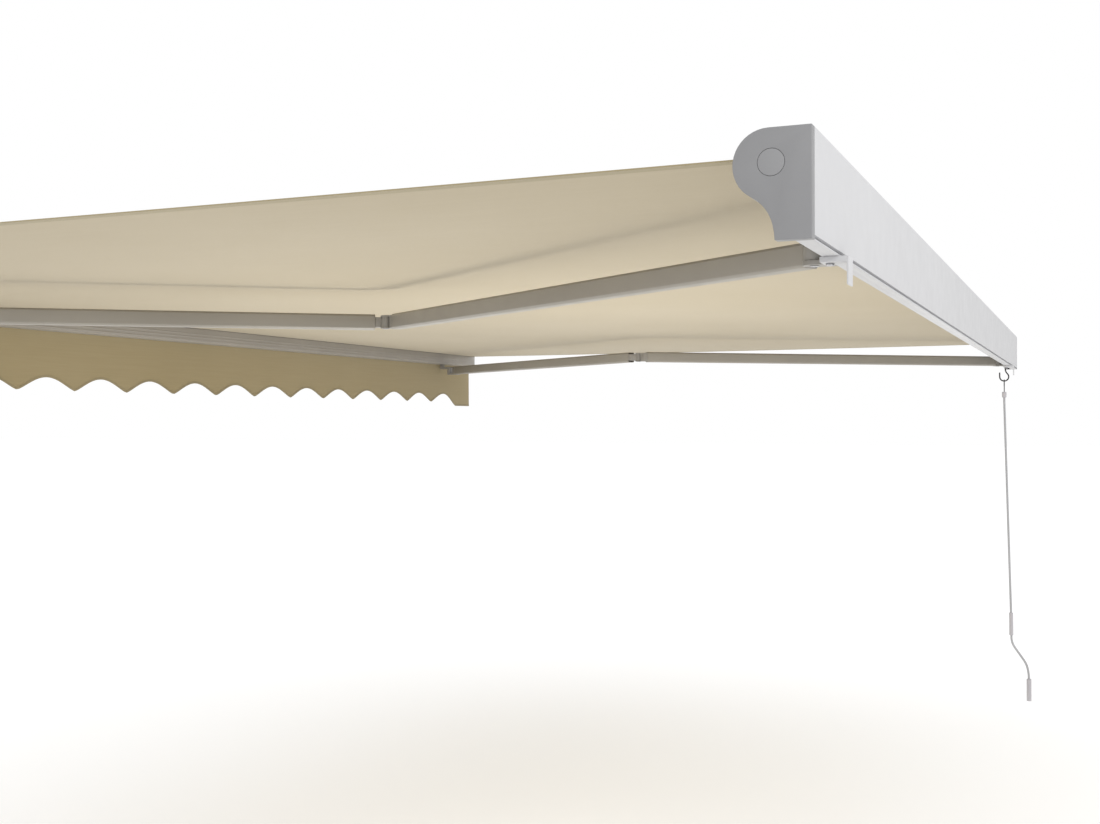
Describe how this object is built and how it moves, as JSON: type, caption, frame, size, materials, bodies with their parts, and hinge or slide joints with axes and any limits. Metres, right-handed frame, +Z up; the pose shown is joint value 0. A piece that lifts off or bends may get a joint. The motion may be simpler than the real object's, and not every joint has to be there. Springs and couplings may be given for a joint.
{
  "type": "folding-arm canvas awning",
  "caption": "Wall-mounted folding-arm awning: cassette, roller, crank-driven gear, spring arms, front bar and taut canvas canopy with a scalloped valance.",
  "frame": {"origin": "centre of the right-hand wall bracket's back face, on the wall plane", "axes": "+X along the width towards the right-hand end seen from in front, +Y into the wall, +Z up; the awning projects along -Y"},
  "size_m": [5, 3.1005, 1.7897],
  "materials": {
    "back_profile": "satin powder coat",
    "hood_profile": "satin powder coat",
    "bottom_tray": "satin powder coat",
    "end_cap_right": "satin",
    "end_cap_left": "satin",
    "cap_disc_right": "satin",
    "cap_disc_left": "satin",
    "roller_bearing": "satin",
    "gearbox": "satin",
    "fabric_guide": "satin",
    "canopy": "woven, matt",
    "wall_bracket_right": "satin powder coat",
    "wall_bracket_left": "satin powder coat",
    "bracket_bolt_right": "zinc plated",
    "bracket_bolt_left": "zinc plated",
    "shoulder_bracket_right": "satin powder coat",
    "shoulder_bracket_left": "satin powder coat",
    "shoulder_pin_right": "zinc plated",
    "shoulder_pin_left": "zinc plated",
    "roller_tube": "zinc plated",
    "roller_plug_right": "satin",
    "roller_plug_left": "satin",
    "fabric_roll": "woven, matt",
    "gear_hook": "black",
    "crank_hook": "black",
    "crank_ferrule": "satin",
    "crank_rod": "satin powder coat",
    "upper_grip": "satin",
    "lower_grip": "satin",
    "front_bar": "satin powder coat",
    "bar_cap_right": "satin",
    "bar_cap_left": "satin",
    "arm_holder_right": "satin powder coat",
    "arm_holder_left": "satin powder coat",
    "front_pin_right": "zinc plated",
    "front_pin_left": "zinc plated",
    "canopy_rod": "satin",
    "valance_rod": "satin",
    "valance": "woven, matt",
    "upper_arm_right": "satin powder coat",
    "shoulder_knuckle_right": "satin powder coat",
    "elbow_fork_right": "satin powder coat",
    "elbow_pin_right": "zinc plated",
    "forearm_right": "satin powder coat",
    "elbow_tongue_right": "satin powder coat",
    "front_head_right": "satin powder coat",
    "arm_spring_right": "zinc plated",
    "upper_arm_left": "satin powder coat",
    "shoulder_knuckle_left": "satin powder coat",
    "elbow_fork_left": "satin powder coat",
    "elbow_pin_left": "zinc plated",
    "forearm_left": "satin powder coat",
    "elbow_tongue_left": "satin powder coat",
    "front_head_left": "satin powder coat",
    "arm_spring_left": "zinc plated"
  },
  "bodies": {
    "cassette": {"back_profile": "back_profile", "hood_profile": "hood_profile", "bottom_tray": "bottom_tray", "end_cap_right": "end_cap_right", "end_cap_left": "end_cap_left", "cap_disc_right": "cap_disc_right", "cap_disc_left": "cap_disc_left", "roller_bearing": "roller_bearing", "gearbox": "gearbox", "fabric_guide": "fabric_guide", "canopy": "canopy", "wall_bracket_right": "wall_bracket_right", "wall_bracket_left": "wall_bracket_left", "bracket_bolt_right": "bracket_bolt_right", "bracket_bolt_left": "bracket_bolt_left", "shoulder_bracket_right": "shoulder_bracket_right", "shoulder_bracket_left": "shoulder_bracket_left", "shoulder_pin_right": "shoulder_pin_right", "shoulder_pin_left": "shoulder_pin_left"},
    "roller": {"roller_tube": "roller_tube", "roller_plug_right": "roller_plug_right", "roller_plug_left": "roller_plug_left", "fabric_roll": "fabric_roll"},
    "winding_eye": {"gear_hook": "gear_hook", "crank_hook": "crank_hook", "crank_ferrule": "crank_ferrule", "crank_rod": "crank_rod"},
    "upper_grip": {"upper_grip": "upper_grip"},
    "lower_grip": {"lower_grip": "lower_grip"},
    "front_bar": {"front_bar": "front_bar", "bar_cap_right": "bar_cap_right", "bar_cap_left": "bar_cap_left", "arm_holder_right": "arm_holder_right", "arm_holder_left": "arm_holder_left", "front_pin_right": "front_pin_right", "front_pin_left": "front_pin_left", "canopy_rod": "canopy_rod", "valance_rod": "valance_rod", "valance": "valance"},
    "right_upper_arm": {"upper_arm_right": "upper_arm_right", "shoulder_knuckle_right": "shoulder_knuckle_right", "elbow_fork_right": "elbow_fork_right", "elbow_pin_right": "elbow_pin_right"},
    "right_forearm": {"forearm_right": "forearm_right", "elbow_tongue_right": "elbow_tongue_right", "front_head_right": "front_head_right", "arm_spring_right": "arm_spring_right"},
    "left_upper_arm": {"upper_arm_left": "upper_arm_left", "shoulder_knuckle_left": "shoulder_knuckle_left", "elbow_fork_left": "elbow_fork_left", "elbow_pin_left": "elbow_pin_left"},
    "left_forearm": {"forearm_left": "forearm_left", "elbow_tongue_left": "elbow_tongue_left", "front_head_left": "front_head_left", "arm_spring_left": "arm_spring_left"}
  },
  "joints": [
    {"name": "roller_spin", "type": "hinge", "parent": "cassette", "child": "roller", "pos_m": [-2.2753, -0.073, 0.1337], "axis": [1, 0, 0], "range_deg": [-4608, 0]},
    {"name": "right_shoulder", "type": "hinge", "parent": "cassette", "child": "right_upper_arm", "pos_m": [-0.1299, -0.0825, 0.048], "axis": [0, 0, 1], "range_deg": [-52.75, 0], "deforming": ["canopy"]},
    {"name": "right_elbow", "type": "hinge", "parent": "right_upper_arm", "child": "right_forearm", "pos_m": [-1.1748, -1.50757, 0.048], "axis": [0, 0, 1], "range_deg": [0, 105.5]},
    {"name": "right_front_pivot", "type": "hinge", "parent": "right_forearm", "child": "front_bar", "pos_m": [-0.1299, -2.93264, 0.048], "axis": [0, 0, 1], "range_deg": [-52.75, 0]},
    {"name": "left_shoulder", "type": "hinge", "parent": "cassette", "child": "left_upper_arm", "pos_m": [-4.4207, -0.0825, 0.048], "axis": [0, 0, 1], "range_deg": [0, 52.75]},
    {"name": "left_elbow", "type": "hinge", "parent": "left_upper_arm", "child": "left_forearm", "pos_m": [-3.3758, -1.50757, 0.048], "axis": [0, 0, 1], "range_deg": [-105.5, 0]},
    {"name": "eye_spin", "type": "hinge", "parent": "cassette", "child": "winding_eye", "pos_m": [-4.7443, -0.0685, 0.03], "axis": [0, 0, 1], "range_deg": [-50688, 0]},
    {"name": "upper_grip_spin", "type": "hinge", "parent": "winding_eye", "child": "upper_grip", "pos_m": [-4.7443, -0.043, -1.1755], "axis": [0, 0.0088, -1], "continuous": true},
    {"name": "lower_grip_spin", "type": "hinge", "parent": "winding_eye", "child": "lower_grip", "pos_m": [-4.7443, 0.0393, -1.4975], "axis": [0, 0, -1], "continuous": true}
  ],
  "couplings": [
    {"joint": "right_elbow", "follows": "right_shoulder", "ratio": -2},
    {"joint": "right_front_pivot", "follows": "right_shoulder", "ratio": 1},
    {"joint": "left_shoulder", "follows": "right_shoulder", "ratio": -1},
    {"joint": "left_elbow", "follows": "right_shoulder", "ratio": 2},
    {"joint": "roller_spin", "follows": "right_shoulder", "ratio": 87.355},
    {"joint": "eye_spin", "follows": "right_shoulder", "ratio": 960.9}
  ]
}
